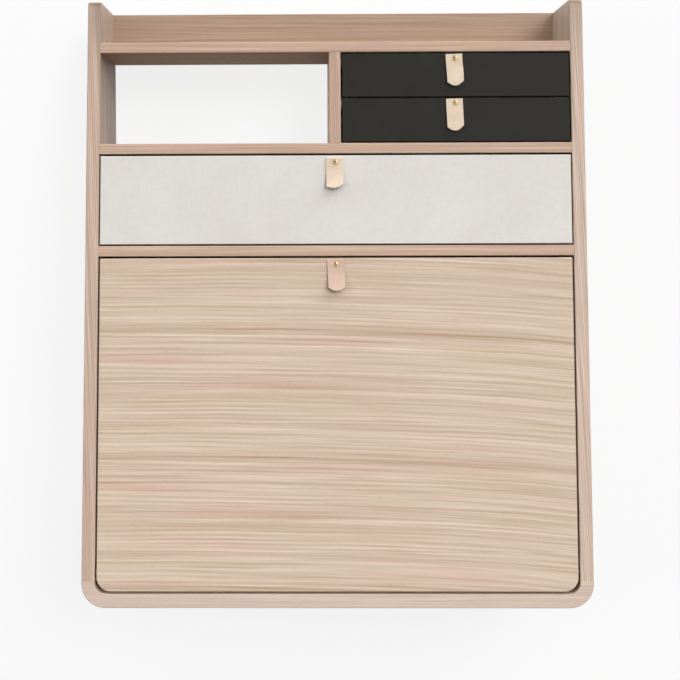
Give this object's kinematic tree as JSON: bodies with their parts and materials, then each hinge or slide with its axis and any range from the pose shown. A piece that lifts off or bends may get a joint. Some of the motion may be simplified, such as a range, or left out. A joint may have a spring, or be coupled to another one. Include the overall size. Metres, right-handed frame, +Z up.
{
  "type": "fold down wall desk",
  "caption": "Wall hung oak secretary desk with a drop flap on slotted stays, a full width drawer, small dark drawers, an open niche and a rimmed top tray.",
  "frame": {"origin": "middle of the rectangle of the four wall screw holes, on the back plane that lies against the wall", "axes": "+X to the right seen from the front, +Y into the wall, +Z up"},
  "size_m": [0.6, 0.2109, 0.72],
  "materials": {
    "oak_upright": "oak veneer, upright grain, clear matt",
    "oak_level": "oak veneer, level grain, clear matt",
    "oak_flap": "brushed oak veneer, level grain, clear matt",
    "oak_back": "oak veneered thin board",
    "linen_front": "off-white board with a fine linen mottle",
    "dark_lacquer": "anthracite satin lacquer",
    "box_ply": "birch plywood, clear",
    "beech": "plain beech",
    "leather": "natural vegetable-tanned leather",
    "brass": "satin brass",
    "catch_plastic": "dark brown moulded plastic",
    "steel": "zinc plated steel"
  },
  "bodies": {
    "carcass": {"back_panel": "oak_back", "bottom_board": "oak_level", "catch_left": "catch_plastic", "catch_right": "catch_plastic", "corner_tongues": "beech", "divider": "oak_upright", "inner_shelf": "oak_level", "lower_drawer_runner_left": "beech", "lower_drawer_runner_right": "beech", "lower_hanging_rail": "beech", "lower_shelf": "oak_level", "middle_shelf": "oak_level", "pivot_bush_left": "brass", "pivot_bush_right": "brass", "shelf_pins": "steel", "side_left": "oak_upright", "side_right": "oak_upright", "stay_plate_left": "steel", "stay_plate_right": "steel", "top_shelf": "oak_level", "upper_drawer_runner_left": "beech", "upper_drawer_runner_right": "beech", "upper_hanging_rail": "beech", "upstand": "oak_level", "wide_drawer_runner_left": "beech", "wide_drawer_runner_right": "beech"},
    "flap": {"flap_panel": "oak_flap", "flap_pull": "leather", "pivot_pin_left": "steel", "pivot_pin_right": "steel", "stay_bracket_left": "steel", "stay_bracket_right": "steel", "stay_rivets": "steel", "strike_plates": "steel"},
    "stay_left": {"stay_arm_left": "steel"},
    "stay_right": {"stay_arm_right": "steel"},
    "wide_drawer": {"wide_drawer_back": "box_ply", "wide_drawer_bottom": "box_ply", "wide_drawer_front": "linen_front", "wide_drawer_pull": "leather", "wide_drawer_side_left": "box_ply", "wide_drawer_side_right": "box_ply"},
    "lower_drawer": {"lower_drawer_back": "box_ply", "lower_drawer_bottom": "box_ply", "lower_drawer_front": "dark_lacquer", "lower_drawer_pull": "leather", "lower_drawer_side_left": "box_ply", "lower_drawer_side_right": "box_ply"},
    "upper_drawer": {"upper_drawer_back": "box_ply", "upper_drawer_bottom": "box_ply", "upper_drawer_front": "dark_lacquer", "upper_drawer_pull": "leather", "upper_drawer_side_left": "box_ply", "upper_drawer_side_right": "box_ply"}
  },
  "joints": [
    {"name": "flap_hinge", "type": "hinge", "parent": "carcass", "child": "flap", "pos_m": [0, -0.19887, -0.23322], "axis": [1, 0, 0], "range_deg": [0, 97.28]},
    {"name": "stay_left_hinge", "type": "hinge", "parent": "flap", "child": "stay_left", "pos_m": [-0.27925, -0.16691, -0.14884], "axis": [1, 0, 0], "range_deg": [-48.64, 0]},
    {"name": "stay_right_hinge", "type": "hinge", "parent": "flap", "child": "stay_right", "pos_m": [0.27925, -0.16691, -0.14884], "axis": [1, 0, 0], "range_deg": [-48.64, 0]},
    {"name": "wide_drawer_slide", "type": "slide", "parent": "carcass", "child": "wide_drawer", "axis": [0, -1, 0], "range_m": [0, 0.08]},
    {"name": "lower_drawer_slide", "type": "slide", "parent": "carcass", "child": "lower_drawer", "axis": [0, -1, 0], "range_m": [0, 0.08]},
    {"name": "upper_drawer_slide", "type": "slide", "parent": "carcass", "child": "upper_drawer", "axis": [0, -1, 0], "range_m": [0, 0.08]}
  ],
  "couplings": [
    {"joint": "stay_left_hinge", "follows": "flap_hinge", "ratio": -0.5},
    {"joint": "stay_right_hinge", "follows": "flap_hinge", "ratio": -0.5}
  ]
}
